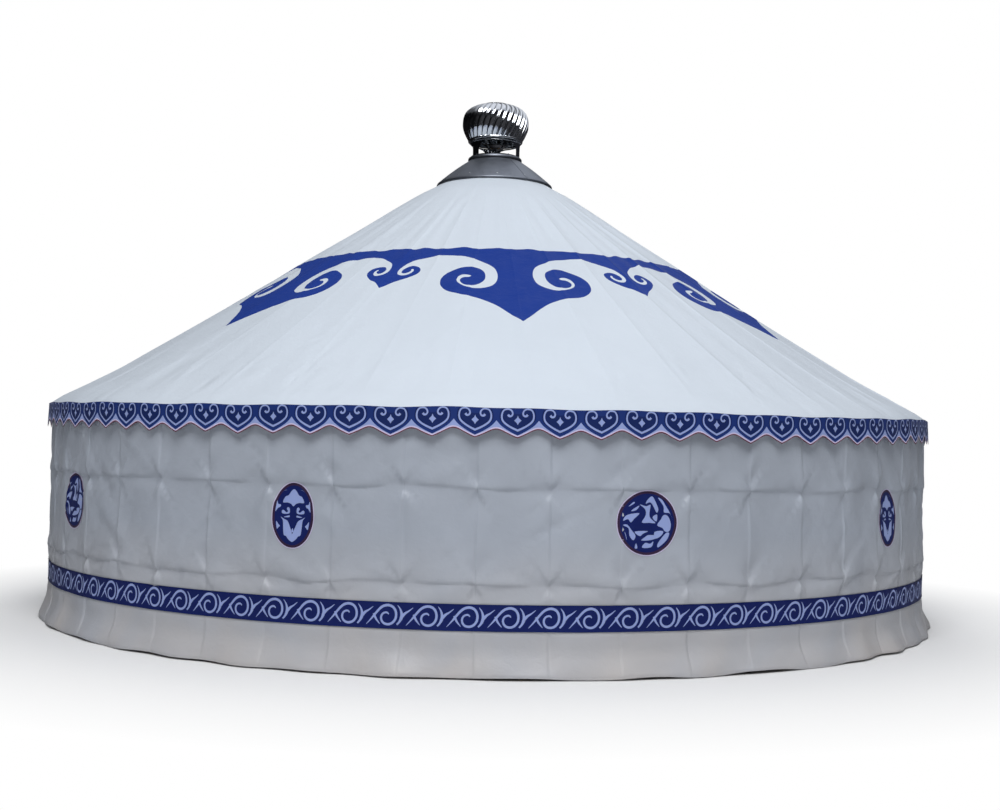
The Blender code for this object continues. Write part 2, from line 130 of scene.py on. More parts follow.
def add_node(tree, kind, **inputs):
    node = tree.nodes.new(kind)
    for name, value in inputs.items():
        feed(tree, node.inputs[name.replace("_", " ")], value)
    return node


def maths(tree, operation, *values):
    node = tree.nodes.new("ShaderNodeMath")
    node.operation = operation
    for socket, value in zip(node.inputs, values):
        feed(tree, socket, value)
    return node.outputs["Value"]


def noise(tree, spot, scale, detail, **more):
    node = add_node(tree, "ShaderNodeTexNoise", Vector=spot, Scale=scale, Detail=detail, **more)
    return node.outputs["Fac"]


def span(tree, value, low, high, start=0.0, end=1.0):
    """Maps what runs from start to end onto low to high."""
    node = add_node(tree, "ShaderNodeMapRange", Value=value, From_Min=start, From_Max=end,
                    To_Min=low, To_Max=high)
    return node.outputs["Result"]


def ramp(tree, factor, *stops):
    """A colour that runs through (place, colour) stops."""
    node = add_node(tree, "ShaderNodeValToRGB", Fac=factor)
    elements = node.color_ramp.elements
    while len(elements) < len(stops):
        elements.new(0.5)
    for element, (place, colour) in zip(elements, stops):
        element.position = place
        element.color = (*colour, 1.0)
    return node.outputs["Color"]


def coordinates(tree):
    return tree.nodes.new("ShaderNodeTexCoord").outputs


def new_material(name, colour, roughness, **finish):
    """A material with its tree and its shader, whose inputs are set by name."""
    material = bpy.data.materials.new(name)
    material.use_nodes = True
    material.diffuse_color = (*colour, 1.0)
    tree = material.node_tree
    shader = tree.nodes["Principled BSDF"]
    finish.update(Base_Color=(*colour, 1.0), Roughness=roughness)
    for socket, value in finish.items():
        shader.inputs[socket.replace("_", " ")].default_value = value
    return material, tree, shader


def add_bump(tree, shader, *layers):
    """Chains (height socket, strength, distance) bumps into the shader."""
    normal = None
    for height, strength, distance in layers:
        bump = add_node(tree, "ShaderNodeBump", Height=height, Strength=strength,
                        Distance=distance)
        if normal:
            feed(tree, bump.inputs["Normal"], normal)
        normal = bump.outputs["Normal"]
    feed(tree, shader.inputs["Normal"], normal)


def cloth_material(name, colour, roughness=0.5, mottle=0.06, soil_and_painted_light=None, shine=0.42):
    """Coated cloth: mottled colour, a fine basket weave and small wrinkles.

    The UV map is in metres along and up the cloth, so the weave keeps its
    scale. With soil_and_painted_light, the lowest part of the cloth is tinted
    with that colour: partly soiling, and partly painted light that lightens and
    warms the foot of the wall and the skirt, as light bounced from the ground would.
    """
    material, tree, shader = new_material(
        name, colour, roughness,
        Sheen_Weight=0.18 * shine, Sheen_Roughness=0.4, Specular_IOR_Level=shine,
    )
    place = coordinates(tree)
    spot = place["Object"]
    cloud = noise(tree, spot, 0.9, 5.0, Roughness=0.6)
    tint = ramp(tree, cloud, (0.3, scaled(colour, 1 - mottle)), (0.7, scaled(colour, 1 + mottle)))
    # The low tint is partly soiling and partly painted light: ground bounce painted onto the wall
    # foot and skirt.
    if soil_and_painted_light:
        height = add_node(tree, "ShaderNodeSeparateXYZ", Vector=spot).outputs["Z"]
        low_down = span(tree, height, 0.0, 0.62, start=0.95, end=0.05)
        stain_and_painted_light = noise(tree, spot, 1.3, 3.0, Distortion=0.5)
        mix = tree.nodes.new("ShaderNodeMix")
        mix.data_type = "RGBA"
        feed(tree, mix.inputs["Factor"], maths(tree, "MULTIPLY", low_down, stain_and_painted_light))
        feed(tree, mix.inputs["A"], tint)
        feed(tree, mix.inputs["B"], (*soil_and_painted_light, 1.0))
        tint = mix.outputs["Result"]
    feed(tree, shader.inputs["Base Color"], tint)
    dust = noise(tree, spot, 7.0, 6.0)
    gloss = span(tree, dust, roughness - 0.1, roughness + 0.12)
    feed(tree, shader.inputs["Roughness"], gloss)
    threads = []
    for direction in "XY":
        wave = add_node(tree, "ShaderNodeTexWave", Vector=place["UV"], Scale=160.0, Distortion=0.4)
        wave.bands_direction = direction
        threads.append(wave.outputs["Fac"])
    basket = maths(tree, "MAXIMUM", *threads)
    crumple = noise(tree, spot, 16.0, 3.0, Distortion=0.6)
    add_bump(tree, shader, (crumple, 0.35, 0.008), (basket, 0.25, 0.0004))
    return material


def steel_material(name, colour, roughness, grain, scratch):
    """Sheet metal with a fine grain and a slightly uneven, smudged finish."""
    material, tree, shader = new_material(name, colour, roughness, Metallic=1.0)
    spot = coordinates(tree)["Object"]
    smudge = noise(tree, spot, 14.0, 6.0, Roughness=0.65)
    gloss = span(tree, smudge, max(0.02, roughness - 0.06), roughness + 0.12)
    tone = ramp(tree, smudge, (0.3, scaled(colour, 0.86)), (0.75, scaled(colour, 1.08)))
    feed(tree, shader.inputs["Roughness"], gloss)
    feed(tree, shader.inputs["Base Color"], tone)
    lines = add_node(tree, "ShaderNodeMapping", Vector=spot, Scale=grain).outputs["Vector"]
    brushed = noise(tree, lines, 30.0, 3.0)
    dents = noise(tree, spot, 9.0, 1.0)
    add_bump(tree, shader, (dents, 0.15, 0.004), (brushed, scratch, 0.0005))
    return material


def wood_material(name, pale, dark):
    """Oiled timber with long grain and darker flecks."""
    material, tree, shader = new_material(name, pale, 0.5)
    stretch = add_node(tree, "ShaderNodeMapping", Vector=coordinates(tree)["Object"],
                       Scale=(1.0, 1.0, 0.35)).outputs["Vector"]
    grain = noise(tree, stretch, 22.0, 8.0, Distortion=1.4)
    fibre = noise(tree, stretch, 180.0, 4.0)
    feed(tree, shader.inputs["Base Color"], ramp(tree, grain, (0.32, dark), (0.62, pale)))
    add_bump(tree, shader, (grain, 0.2, 0.002), (fibre, 0.15, 0.0006))
    return material


# The wall cloth is the same white as the roof cloth. Its colour is darkened here as painted shade,
# for the upright wall, which sees less of the sky than the roof.
SHADED_WALL_WHITE = (0.404, 0.440, 0.505)
ROOF_WHITE = (0.675, 0.74, 0.82)
# The wall's low tint is partly soiling and partly painted light: the skirt is lightened and warmed
# as if lit from the ground.
wall_cloth = cloth_material("wall_cloth", SHADED_WALL_WHITE, 0.36, soil_and_painted_light=linear((222, 207, 190)))
roof_cloth = cloth_material("roof_cloth", ROOF_WHITE, 0.5, mottle=0.025)
liner_cloth = cloth_material("liner_cloth", linear((205, 200, 190)), 0.8)
roof_blue = cloth_material("roof_blue_print", linear((8, 52, 142)), 0.55, mottle=0.05, shine=0.15)
navy_print = cloth_material("navy_print", linear((14, 30, 96)), 0.5, shine=0.22)
blue_print = cloth_material("blue_print", linear((26, 50, 118)), 0.5, shine=0.22)
night_print = cloth_material("night_print", linear((18, 38, 96)), 0.5, shine=0.22)
pale_print = cloth_material("pale_blue_print", linear((150, 166, 218)), 0.5)
blush_print = cloth_material("blush_print", linear((206, 196, 226)), 0.5)
red_piping = cloth_material("red_piping", linear((104, 30, 52)), 0.55)
plum_print = cloth_material("plum_print", linear((52, 28, 62)), 0.5)
bright_steel = steel_material("bright_steel", (0.74, 0.76, 0.79), 0.09, (1, 1, 14), 0.06)
dull_steel = steel_material("flashing_metal", (0.24, 0.26, 0.30), 0.45, (10, 10, 1), 0.25)
pole_wood = wood_material("pole_wood", (0.47, 0.29, 0.15), (0.27, 0.14, 0.065))


# --- Flat shapes ------------------------------------------------------------
def smooth_line(points, closed=False, steps=4):
    """Points on a curve through the given ones."""
    points = [np.array(p, float) for p in points]
    count = len(points)
    out = []
    for i in range(count if closed else count - 1):
        if closed:
            before, start, end, after = (points[(i + k) % count] for k in (-1, 0, 1, 2))
        else:
            before, start = points[max(i - 1, 0)], points[i]
            end, after = points[i + 1], points[min(i + 2, count - 1)]
        bend = 2 * before - 5 * start + 4 * end - after
        turn = 3 * start - before - 3 * end + after
        for step in range(steps):
            t = step / steps
            out.append(0.5 * (2 * start + (end - before) * t + bend * t**2 + turn * t**3))
    if not closed:
        out.append(points[-1])
    return np.array(out)


def blob(points):
    """A smooth closed outline."""
    return smooth_line(points, closed=True, steps=3)


def brush(points, widths, steps=3):
    """The outline of a stroke along a curve, as wide as each point says."""
    line = smooth_line(points, steps=steps)
    places = np.linspace(0, len(widths) - 1, len(line))
    half = np.interp(places, range(len(widths)), widths) / 2
    along = np.gradient(line, axis=0)
    along /= np.linalg.norm(along, axis=1)[:, None]
    across = np.stack([-along[:, 1], along[:, 0]], 1) * half[:, None]
    return np.concatenate([line + across, (line - across)[::-1]])


def flipped(outline):
    return np.array(outline) * (-1, 1)


def both_sides(half):
    """A closed outline from its right half, which starts and ends on the middle line."""
    return np.concatenate([half, flipped(half)[::-1][1:-1]])


def disc(radius_x, radius_y, centre, sides=48):
    turn = np.linspace(0, 2 * math.pi, sides, endpoint=False)
    return centre + np.stack([radius_x * np.cos(turn), radius_y * np.sin(turn)], 1)


def inside(outline, points):
    """Which points lie within a closed outline."""
    result = np.zeros(len(points), bool)
    low, high = outline.min(0), outline.max(0)
    near = np.where(((points >= low) & (points <= high)).all(1))[0]
    x, y = points[near].T
    within = np.zeros(len(near), bool)
    for (x0, y0), (x1, y1) in zip(outline, np.roll(outline, -1, axis=0)):
        if y0 != y1:
            crosses = (y0 > y) != (y1 > y)
            within ^= crosses & (x < (x1 - x0) * (y - y0) / (y1 - y0) + x0)
    result[near] = within
    return result


def grid_points(xs, ys):
    return np.array([(x, y) for x in xs for y in ys])


def inlay(outline, shapes, grid, repeat=0.0):
    """A flat sheet cut into triangles, with shapes printed into it.

    shapes is a list of (outline, material index), the last on top. grid holds
    more points to cut at. With repeat, the sheet is one cell of a strip and
    its neighbours' shapes reach into it. Returns points, faces and indices.
    """
    points, edges = [], []

    def add_loop(loop):
        first = len(points)
        points.extend(Vector(p) for p in loop)
        count = len(loop)
        edges.extend((first + i, first + (i + 1) % count) for i in range(count))

    outline = np.array(outline, float)
    add_loop(outline)
    layers = []
    for shape, index in shapes:
        for shift in (-repeat, 0.0, repeat) if repeat else (0.0,):
            moved = np.array(shape) + (shift, 0)
            left, right = moved[:, 0].min(), moved[:, 0].max()
            if right < outline[:, 0].min() or left > outline[:, 0].max():
                continue
            add_loop(moved)
            layers.append((moved, index))
    points.extend(Vector(p) for p in grid[inside(outline, grid)])
    flat, _, faces, *_ = delaunay_2d_cdt(points, edges, [], 0, 1e-6)
    flat = np.array([tuple(p) for p in flat])
    faces = np.array(faces)
    centres = flat[faces].mean(1)
    index = np.zeros(len(faces), int)
    for shape, value in layers:
        index[inside(shape, centres)] = value
    ab = flat[faces[:, 1]] - flat[faces[:, 0]]
    ac = flat[faces[:, 2]] - flat[faces[:, 0]]
    turn = ab[:, 0] * ac[:, 1] - ab[:, 1] * ac[:, 0]
    kept = inside(outline, centres) & (np.abs(turn) > 1e-11)
    faces, index, turn = faces[kept], index[kept], turn[kept]
    faces[turn < 0] = faces[turn < 0][:, ::-1]
    return flat, faces, index


# --- From flat sheets to cloth ----------------------------------------------
def merged(places, faces, index):
    """Joins points that coincide and drops what collapses."""
    keys = np.round(places / 2e-5).astype(np.int64)
    _, first, again = np.unique(keys, axis=0, return_index=True, return_inverse=True)
    faces = again.reshape(-1)[faces]
    a, b, c = faces.T
    whole = (a != b) & (b != c) & (c != a)
    return first, faces[whole], index[whole]


def unit(vectors):
    return vectors / np.maximum(np.linalg.norm(vectors, axis=1), 1e-12)[:, None]


def wrap(name, sheet, surface, materials, reference, cells=1, first=0.0, pitch=0.0,
         thick=0.002, lining=None):
    """Wraps a flat sheet, repeated round the yurt, onto a surface.

    The sheet's x is in metres round a circle of the reference radius. surface
    takes azimuths in degrees and the sheet's y, and gives points. The cloth
    gets a back and edges too.
    """
    flat, faces, index = sheet
    turned = np.degrees(flat[:, 0] / reference)
    azimuth = np.concatenate([turned + first + k * pitch for k in range(cells)])
    height = np.tile(flat[:, 1], cells)
    faces = np.concatenate([faces + k * len(flat) for k in range(cells)])
    index = np.tile(index, cells)
    places = surface(azimuth, height)
    side = surface(azimuth + 0.03, height) - surface(azimuth - 0.03, height)
    rise = surface(azimuth, height + 0.0015) - surface(azimuth, height - 0.0015)
    normals = unit(np.cross(side, rise))
    outward = places / np.linalg.norm(places[:, :2], axis=1)[:, None]
    outward[:, 2] = 1.0
    if (normals * outward).sum() < 0:
        normals = -normals
    first_of, faces, index = merged(places, faces, index)
    places, normals = places[first_of], normals[first_of]
    a, b, c = (places[faces[:, k]] for k in range(3))
    if (np.cross(b - a, c - a) * normals[faces[:, 0]]).sum() < 0:
        faces = faces[:, ::-1]
    metres = np.stack([np.radians(azimuth) * reference, height], 1)[first_of]
    return cloth_mesh(name, places, normals, faces, index, materials, metres, thick, lining)


def cloth_mesh(name, places, normals, faces, index, materials, metres, thick, lining):
    """A thin closed cloth with smooth normals and a UV map in metres."""
    count = len(places)
    edges = np.concatenate([faces[:, pair] for pair in ([0, 1], [1, 2], [2, 0])])
    code = edges[:, 0] * count + edges[:, 1]
    twin = edges[:, 1] * count + edges[:, 0]
    free = ~np.isin(code, twin)
    start, end = edges[free].T
    every = np.concatenate([
        faces,
        faces[:, ::-1] + count,
        np.stack([end, start, start + count], 1),
        np.stack([end, start + count, end + count], 1),
    ])
    back = np.full(len(faces), len(materials)) if lining else index
    rim = np.tile(index, 3)[free]
    mesh = bpy.data.meshes.new(name)
    both = np.concatenate([places, places - normals * thick])
    mesh.from_pydata(both.tolist(), [], every.tolist())
    for material in list(materials) + ([lining] if lining else []):
        mesh.materials.append(material)
    colours = np.concatenate([index, back, rim, rim]).astype(np.int32)
    mesh.polygons.foreach_set("material_index", colours)
    mesh.polygons.foreach_set("use_smooth", np.ones(len(every), bool))
    uv = mesh.uv_layers.new(name="cloth")
    corners = np.concatenate([metres, metres])[every.reshape(-1)]
    uv.data.foreach_set("uv", corners.astype(np.float32).reshape(-1))
    mesh.update()
    mesh.normals_split_custom_set_from_vertices(np.concatenate([normals, -normals]).tolist())
    return add_object(name, mesh)


def add_object(name, data):
    obj = bpy.data.objects.new(name, data)
    bpy.context.scene.collection.objects.link(obj)
    return obj


def spin_points(azimuth, radius, height):
    turn = np.radians(azimuth)
    return np.stack([radius * np.sin(turn), -radius * np.cos(turn), height], 1)


def wrapped(azimuth):
    """The same azimuth, from -180 to 180."""
    return (azimuth + 180) % 360 - 180


def soft_step(value, low, high):
    share = np.clip((value - low) / (high - low), 0, 1)
    return share * share * (3 - 2 * share)


def soft_limit(value, low, high):
    """Eases values off before they pass the limits."""
    return np.where(value < 0, -low * np.tanh(value / -low), high * np.tanh(value / high))


def waves(azimuth, height, seed, turns, rise, count, size):
    """Smooth unevenness that closes on itself round the yurt."""
    rng = random.Random(seed)
    total = np.zeros(len(azimuth))
    for _ in range(count):
        m = rng.randint(*turns)
        n = rng.uniform(-rise, rise)
        phase = rng.uniform(0, 2 * math.pi)
        total += np.cos(np.radians(azimuth) * m + height * n + phase)
    return total * size / math.sqrt(count)


def wrinkles(azimuth, height, seed, count, spots, lengths, widths, size, slants, radius):
    """Separate soft wrinkles, each a ridge or a furrow in one direction."""
    rng = random.Random(seed)
    total = np.zeros(len(azimuth))
    for _ in range(count):
        centre = rng.uniform(-180, 180)
        level = rng.uniform(*spots)
        length = rng.uniform(*lengths)
        width = rng.uniform(*widths)
        slant = math.radians(rng.choice((-1, 1)) * rng.uniform(*slants))
        depth = size * rng.choice((-1, 1)) * rng.uniform(0.4, 1.0)
        x = np.radians(wrapped(azimuth - centre)) * radius
        reach = 2.5 * length
        near = np.where((np.abs(x) < reach) & (np.abs(height - level) < reach))[0]
        y = height[near] - level
        along = x[near] * math.sin(slant) + y * math.cos(slant)
        across = x[near] * math.cos(slant) - y * math.sin(slant)
        total[near] += depth * np.exp(-((across / width) ** 2) - (along / length) ** 2)
    return total


# --- Wall -------------------------------------------------------------------
def crease_parts(azimuth):
    """Distance to the nearest upright crease and its sign; which panel, and
    how far across it."""
    column = wrapped(azimuth - FIRST_CREASE) / CREASE_ANGLE
    nearest = np.round(column)
    off = (column - nearest) * math.radians(CREASE_ANGLE) * WALL_R
    sign = 1 - 2 * (nearest.astype(int) % 2)
    panel = 1 - 2 * (np.floor(column).astype(int) % 2)
    between = column - np.floor(column)
    return off, sign, panel, between


def wall_relief(azimuth, height):
    """How far the wall cloth stands out from its plain cylinder.

    The cloth was stored folded, so it keeps upright and level fold lines,
    with a puckered star where they cross and a slack pillow in between.
    """
    off, sign, panel, between = crease_parts(azimuth)
    middle = np.sin(math.pi * between) ** 0.7
    along = waves(azimuth, height, 2, (3, 30), 5.0, 12, 0.5)
    # a sharp fold, a step from one panel to the next, and the pillow between
    relief = 0.006 + 0.0060 * sign * np.exp(-np.abs(off) / 0.016) * (0.8 + along)
    relief += 0.0050 * sign * np.tanh(off / 0.010) * np.exp(-np.abs(off) / 0.09)
    relief += 0.0075 * middle * np.cos(2.6 * height + 0.8 * panel)
    for row, level in enumerate(CREASE_HEIGHTS):
        level = level + 0.012 * waves(azimuth, height * 0, 51 + row, (6, 40), 0, 8, 1.0)
        lift = height - level
        side = panel * (1 if row == 0 else -1)
        # a level fold with its own step
        depth = 0.0150 + 0.0060 * side + 0.007 * along
        relief -= depth * np.exp(-np.abs(lift) / 0.026) * (1 - 0.35 * middle)
        relief += 0.0085 * np.tanh(lift / 0.016) * np.exp(-np.abs(lift) / 0.16)
        # a pucker and slanting rays where the two folds cross
        reach = np.hypot(off, lift) + 1e-6
        corner = (off**2 - lift**2) / reach**2
        pinch = np.exp(-((reach / 0.11) ** 2)) * (reach / 0.05)
        relief += 0.0170 * sign * corner * pinch
        slant = (np.abs(off) - 0.8 * np.abs(lift)) / 0.032
        relief += 0.0110 * sign * np.exp(-(slant**2) - (reach / 0.19) ** 2)
    relief += waves(azimuth, height, 3, (16, 70), 5.0, 30, 0.0042)
    relief += wrinkles(azimuth, height, 5, 330, (0.55, 1.7), (0.12, 0.36), (0.030, 0.058),
                       0.0090, (15, 70), WALL_R)
    relief += wrinkles(azimuth, height, 7, 120, (0.5, 0.7), (0.08, 0.22), (0.025, 0.050),
                       0.0100, (60, 90), WALL_R)
    # the band holds the cloth flat
    calm = 1 - 0.82 * np.exp(-(((height - 0.405) / 0.118) ** 6))
    return soft_limit(relief * calm, -0.014, 0.026)


def skirt_spread(azimuth):
    """How far the hem lies outside the wall, round the yurt."""
    reach = HEM_R - WALL_R - 0.012
    bulge = np.exp(-(wrapped(azimuth - 46) / 16) ** 2)
    return reach * (0.86 + 0.16 * bulge) + waves(azimuth, azimuth * 0, 11, (14, 60), 0, 14, 0.010)


def wall_surface(azimuth, height):
    """Points of the wall cloth; below the skirt line it turns out."""
    relief = wall_relief(azimuth, height)
    down = soft_step(SKIRT_Z - height, 0.0, SKIRT_Z)
    flare = skirt_spread(azimuth) * down**1.7
    flutes = waves(azimuth, height, 13, (14, 60), 6.0, 20, 0.015) * down
    tuck = 0.006 * np.exp(-((height - 0.55) / 0.12) ** 2)
    slack = np.clip(height / 0.12, 0, 1)
    radius = WALL_R + (relief + tuck) * (0.35 + 0.65 * slack) + flare + flutes * 0.8
    hem = np.clip(1 - height / 0.05, 0, 1)
    uneven = 1 + np.tanh(waves(azimuth, height * 0, 17, (9, 40), 0, 10, 0.8))
    return spin_points(azimuth, radius, height + hem * (0.0015 + 0.011 * uneven))


def outside_wall(gap):
    """The wall's surface, moved out by a gap."""
    return lambda azimuth, height: (wall_surface(azimuth, height)
                                    + spin_points(azimuth, gap, 0 * height))


def crease_columns(low, high):
    """Grid lines along every upright crease, closest together at the fold."""
    near = np.array([0, 0.006, 0.015, 0.028, 0.048, 0.080, 0.125, 0.183])
    near = np.degrees(near / WALL_R)
    columns = {low, high}
    for k in range(-27, 28):
        fold = FIRST_CREASE + k * CREASE_ANGLE
        columns |= {fold + side * offset for offset in near for side in (-1, 1)}
        columns.add(fold + CREASE_ANGLE / 2)
    inside_span = sorted(c for c in columns if low <= c <= high)
    kept = [inside_span[0]]
    for column in inside_span[1:]:
        if column - kept[-1] > 0.03:
            kept.append(column)
    kept[-1] = high
    return kept


def grid_sheet(columns, rows):
    """A plain grid of triangles, split towards alternate corners."""
    nx, ny = len(columns), len(rows)
    flat = np.array([(x, y) for x in columns for y in rows])
    faces = []
    for i in range(nx - 1):
        for j in range(ny - 1):
            a, b = i * ny + j, (i + 1) * ny + j
            if (i + j) % 2:
                faces += [(a, b, b + 1), (a, b + 1, a + 1)]
            else:
                faces += [(a, b, a + 1), (b, b + 1, a + 1)]
    return flat, np.array(faces), np.zeros(len(faces), int)


def make_wall_cover():
    seam = FIRST_CREASE + 179.9999
    columns = crease_columns(seam - 360, seam)
    rows = set(np.arange(0, WALL_TOP, 0.043).round(4)) | {WALL_TOP}
    for level in CREASE_HEIGHTS:
        near = (0, 0.008, 0.019, 0.034, 0.054)
        rows = {r for r in rows if abs(r - level) > 0.07}
        rows |= {level + side * n for n in near for side in (-1, 1)}
    rows = sorted(rows)
    sheet = grid_sheet([math.radians(c) * WALL_R for c in columns], rows)
    cover = wrap("wall_cover", sheet, wall_surface, [wall_cloth], WALL_R,
                 thick=0.002, lining=liner_cloth)
    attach(cover, TENT)
    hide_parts(*[f"wall_cover_{i}" for i in range(1, 8)])


# --- Roof -------------------------------------------------------------------
def roof_relief(azimuth, radius):
    """How far the roof cloth stands above a straight cone."""
    # a sag half way down, and a swell over the crown ring
    relief = -0.015 * np.exp(-(((radius - 2.65) / 0.75) ** 2))
    relief += 0.018 * soft_step(-radius, -1.5, -0.85) * soft_step(radius, 0.56, 0.8)
    reach = soft_step(radius, 0.6, 1.6) * soft_step(-radius, -EAVE_R, -3.6)
    share = (azimuth - FIRST_POLE) / POLE_ANGLE
    off = share - np.round(share)
    # it hangs loosest between the poles on one side
    loose = 0.45 + 0.55 * np.exp(-((wrapped(azimuth - 50) / 45) ** 2))
    slack = 0.0105 + 0.003 * waves(azimuth, radius * 0, 20, (5, 37), 0, 10, 1.0)
    relief -= loose * slack * reach * (np.sqrt(off**2 + 0.0006) * 2.0) ** 0.85
    relief += waves(azimuth, radius, 21, (14, 90), 1.6, 30, 0.0036) * reach
    relief += wrinkles(azimuth, radius, 23, 300, (1.0, 3.9), (0.12, 0.6), (0.022, 0.045),
                       0.0050, (0, 25), radius)
    relief += wrinkles(azimuth, radius, 27, 160, (3.4, 4.0), (0.10, 0.3), (0.025, 0.045),
                       0.0060, (0, 20), radius)
    relief += wrinkles(azimuth, radius, 29, 160, (1.6, 3.9), (0.08, 0.3), (0.02, 0.035),
                       0.0030, (50, 88), radius)
    metres_off = np.radians(off * POLE_ANGLE) * radius
    relief += 0.0085 * loose * reach * np.exp(-np.abs(metres_off) / 0.016)
    hump = 0.006 * np.exp(-(((radius - 3.93) / 0.07) ** 2))
    return soft_limit(relief + hump, -0.022, 0.040)


def eave_lift(azimuth):
    """The eave's own slow rise and fall from pole to pole."""
    share = (azimuth - FIRST_POLE) / POLE_ANGLE * 2 * math.pi
    corner = (np.abs(wrapped(azimuth)) - 68) / 22
    uneven = waves(azimuth, azimuth * 0, 31, (5, 30), 0, 12, 0.0035)
    return 0.038 * np.exp(-(corner**2)) + 0.0030 * np.cos(share) + uneven


def roof_surface(azimuth, radius):
    """Points of the roof cloth. Past the eave the cloth turns down."""
    over = np.maximum(radius - EAVE_R, 0)
    on_roof = np.minimum(radius, EAVE_R)
    height = EAVE_Z + ROOF_RISE * (EAVE_R - on_roof) + roof_relief(azimuth, on_roof)
    out = EAVE_R - 0.004 + 0.006 * (1 - np.exp(-over / 0.006))
    near = soft_step(on_roof, 3.4, EAVE_R)
    spread = np.where(over > 0, out, on_roof - 0.004 * soft_step(on_roof, 3.9, EAVE_R))
    return spin_points(azimuth, spread, height - over + eave_lift(azimuth) * near)


def roof_print():
    """The blue band with its big and small scrolled points, one period."""
    big = [
        (15, 1.99), (12, 2.01), (9.2, 2.045), (6.6, 2.10), (4.9, 2.15), (4.0, 2.205),
        (3.55, 2.29), (3.7, 2.375), (4.3, 2.435), (5.2, 2.47), (6.6, 2.492), (8.2, 2.495),
        (9.7, 2.47), (10.9, 2.43), (11.4, 2.385), (11.2, 2.335), (10.5, 2.306),
        (9.5, 2.303), (8.75, 2.32), (9.1, 2.336), (10.0, 2.34), (10.65, 2.365),
        (10.7, 2.40), (10.2, 2.435), (9.4, 2.455), (8.4, 2.46), (7.2, 2.438),
        (6.3, 2.39), (5.95, 2.34), (6.1, 2.27), (6.8, 2.22), (8.0, 2.19), (9.6, 2.18),
        (11.4, 2.203), (13.0, 2.243), (14.1, 2.30), (14.55, 2.37), (14.2, 2.45),
        (13.3, 2.51), (12.0, 2.56), (10.4, 2.593), (8.0, 2.62), (6.2, 2.662),
        (4.4, 2.72), (2.8, 2.795), (1.3, 2.888), (0, 2.968),
    ]
    small = [
        (0, 2.495), (0.9, 2.45), (1.9, 2.408), (3.3, 2.37), (4.6, 2.325), (5.6, 2.28),
        (5.95, 2.235), (5.6, 2.19), (4.7, 2.165), (3.7, 2.158), (2.7, 2.172),
        (2.05, 2.205), (1.95, 2.24), (2.3, 2.265), (2.95, 2.27), (3.6, 2.256),
        (3.95, 2.232), (3.8, 2.21), (4.25, 2.207), (4.5, 2.235), (4.2, 2.27),
        (3.4, 2.297), (2.4, 2.30), (1.5, 2.28), (1.05, 2.235), (1.2, 2.18), (1.8, 2.125),
        (2.8, 2.088), (4.3, 2.05), (6, 2.02), (8, 2.003), (10, 1.995),
    ]
    half = MOTIF_ANGLE / 2
    point = smooth_line(big, steps=3)[::-1]
    bud = smooth_line(small, steps=3)
    near_side = bud[::-1] * (-1, 1) + (half, 0)
    far_side = bud[1:] + (half, 0)
    right = np.concatenate([point[:-1], near_side, far_side])
    edge = np.linspace(right[-1][0], -right[-1][0], 97)
    top = np.stack([edge, 1.876 + 0.012 * np.cos(np.radians(edge * 360 / POLE_ANGLE))], 1)
    return np.concatenate([right, top, flipped(right)[::-1][:-1]])


def make_roof_cover():
    half = MOTIF_ANGLE / 2
    share = EAVE_R * 0.72
    near_pole = (0, 0.2, 0.5, 1.0, 1.7, 2.6, 3.5)
    columns = {-half, half}
    for k in range(-4, 5):
        pole = FIRST_POLE - FIRST_MOTIF + k * POLE_ANGLE
        columns |= {pole + side * off for off in near_pole for side in (-1, 1)}
        columns.add(pole + POLE_ANGLE / 2)
    columns = sorted(c for c in columns if abs(c) <= half)
    rows = np.concatenate([
        np.linspace(COVER_TOP_R, 1.8, 23)[:-1],
        np.linspace(1.8, EAVE_R, 45),
        EAVE_R + np.array([0.004, 0.010, 0.022, 0.05, EAVE_DROP - 0.006]),
    ])
    low, high = rows[0], rows[-1]
    outline = [(c, low) for c in columns[:-1:3]] + [(half, r) for r in rows[:-1]]
    outline += [(c, high) for c in columns[:0:-1]] + [(-half, r) for r in rows[:0:-1]]
    grid = [(c, r) for i, c in enumerate(columns) for r in rows
            if r > 1.3 or i % (2 if r > 0.8 else 4) == 0]
    to_metres = np.array([math.radians(1) * share, 1.0])
    sheet = inlay(np.array(outline) * to_metres, [(roof_print() * to_metres, 1)],
                  np.array(grid) * to_metres)
    cover = wrap("roof_cover", sheet, roof_surface, [roof_cloth, roof_blue], share,
                 cells=MOTIFS, first=FIRST_MOTIF, pitch=MOTIF_ANGLE, thick=0.0018,
                 lining=liner_cloth)
    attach(cover, TENT)
    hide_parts(*[f"roof_gore_{i}" for i in range(1, 8)])


# --- Printed strips and roundels --------------------------------------------
def valance_surface(azimuth, height):
    """The scalloped trim hangs from the eave and flutters a little."""
    height = VALANCE_TIP - 0.006 + (height - VALANCE_TIP) * DROP_SHARE
    down = (VALANCE_TOP - height) / (VALANCE_TOP - VALANCE_TIP)
    flutter = waves(azimuth, height, 41, (24, 96), 2.0, 20, 0.0045) * np.clip(down, 0, 1)
    radius = EAVE_R + 0.0075 + 0.003 * down + flutter
    return spin_points(azimuth, radius, height + eave_lift(azimuth))


def scallop_edge():
    """The lower edge of one scallop, from its left notch to its right one."""
    half = math.pi * EAVE_R / SCALLOPS
    tip, notch = VALANCE_TIP + 0.002, VALANCE_NOTCH
    left = smooth_line([(-half - 0.03, notch - 0.008), (-half, notch), (-0.108, notch - 0.007),
                        (-0.058, notch - 0.030), (-0.018, tip + 0.006), (0, tip)], steps=4)
    left = left[4:]
    left[0, 0] = -half
    return np.concatenate([left, flipped(left)[::-1][1:]])


